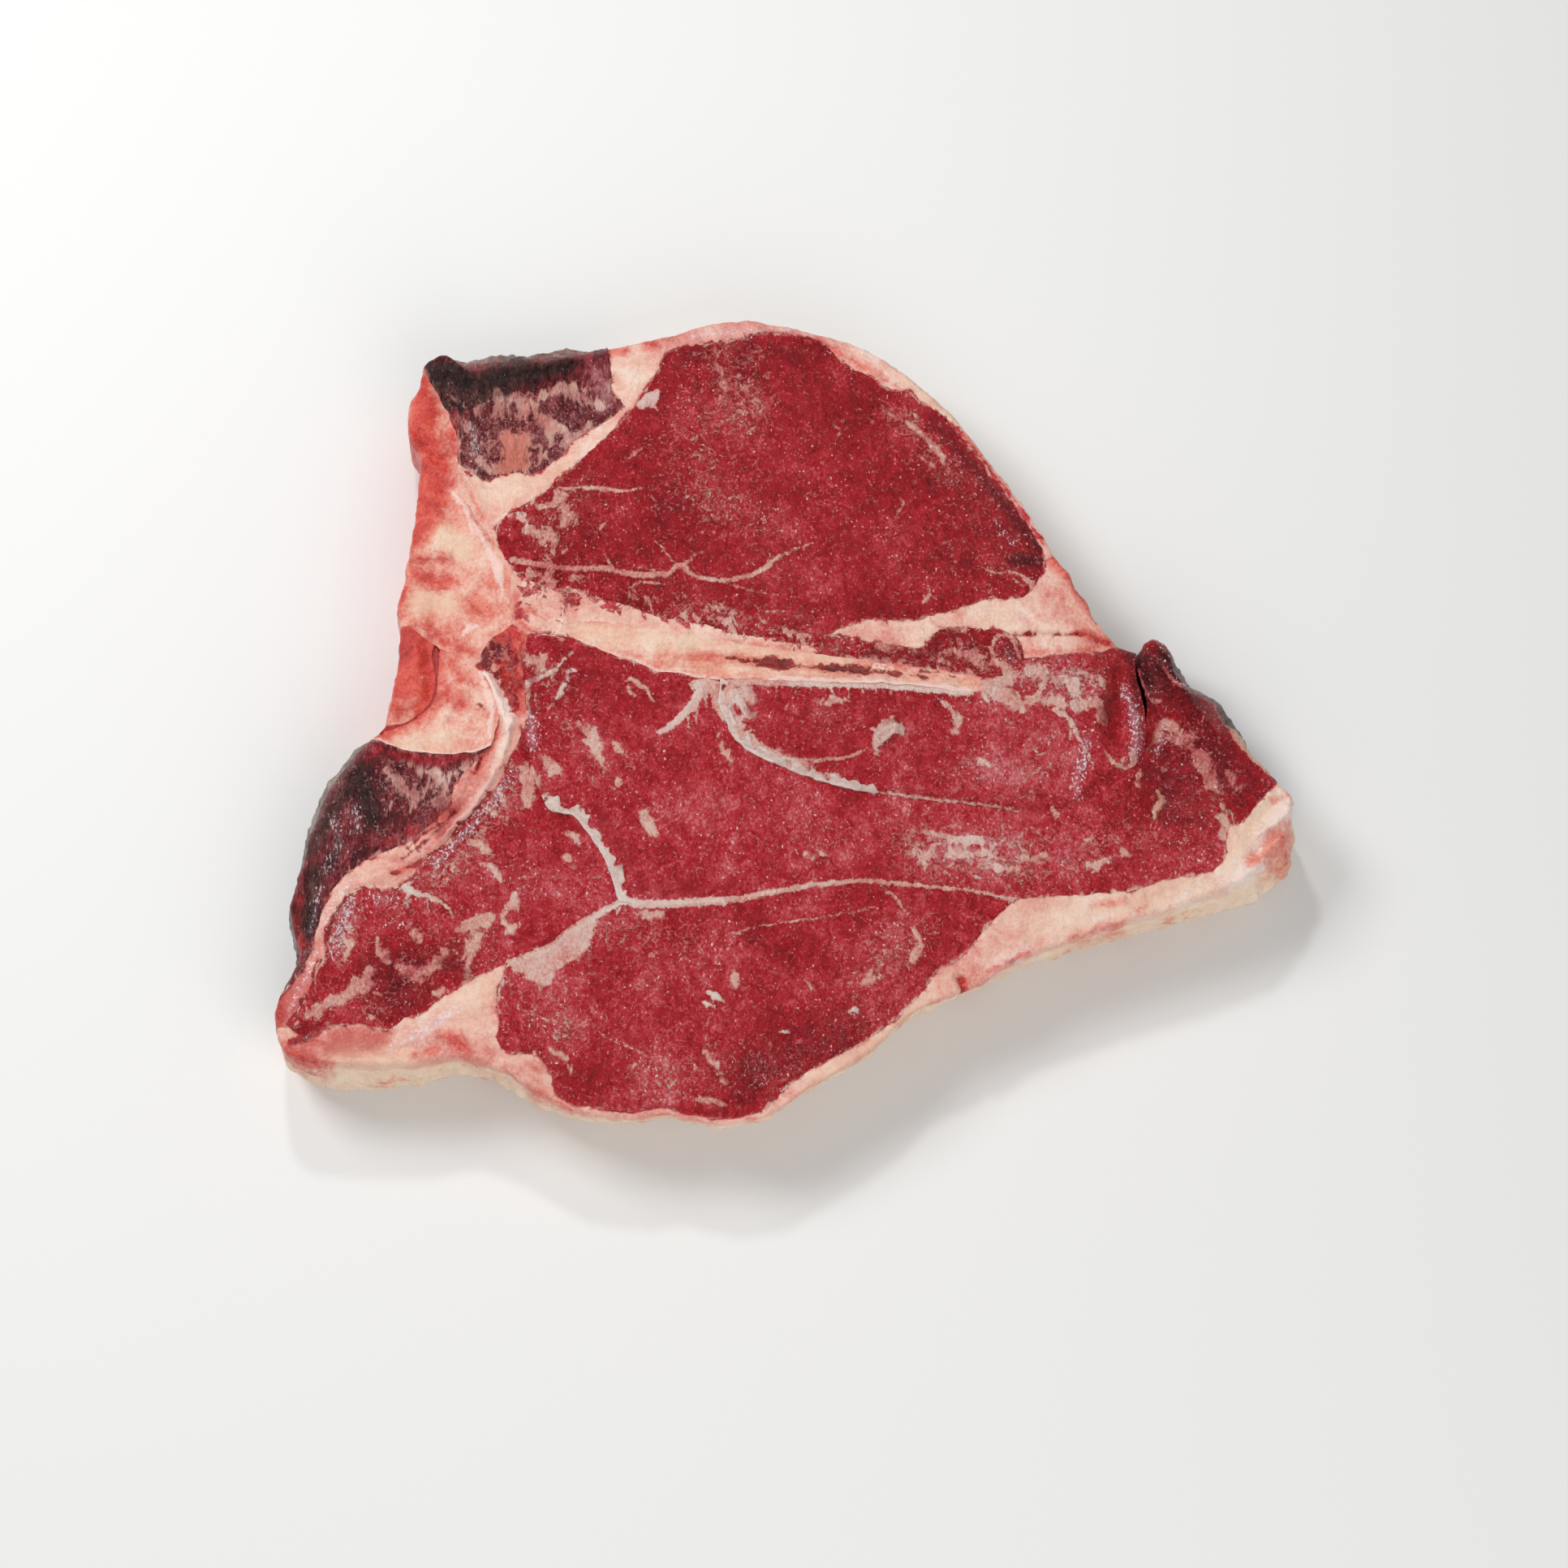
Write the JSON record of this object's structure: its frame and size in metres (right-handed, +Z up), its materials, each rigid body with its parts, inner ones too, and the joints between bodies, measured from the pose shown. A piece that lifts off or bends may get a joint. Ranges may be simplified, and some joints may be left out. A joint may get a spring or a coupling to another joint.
{
  "type": "raw striploin steak on the bone",
  "caption": "Raw bone-in loin steak lying flat: large eye and smaller muscles, T-shaped bone, fat seams and a rim of backfat.",
  "frame": {"origin": "middle of the underside's box, on the surface that the steak lies on", "axes": "+Z up out of the shown cut face, +X along the finger bone away from the spine, +Y from the backfat to the eye muscle"},
  "size_m": [0.2838, 0.2427, 0.0301],
  "materials": {
    "bone": "damp sawn bone",
    "fat": "waxy raw fat",
    "crust": "dark dried meat",
    "lean": "moist raw meat"
  },
  "bodies": {
    "root": {"chine_bone": "bone", "joint_knob": "bone", "joint_socket": "bone", "finger_bone": "bone", "upper_fat": "fat", "bone_fat": "fat", "wedge_fat": "fat", "gristle_band": "fat", "cap_fat": "fat", "pocket_muscle": "crust", "dark_muscle": "crust", "eye_muscle": "lean", "strip_muscle": "lean", "side_muscle": "lean", "centre_muscle": "lean", "left_muscle": "lean", "bottom_muscle": "lean"}
  },
  "joints": []
}
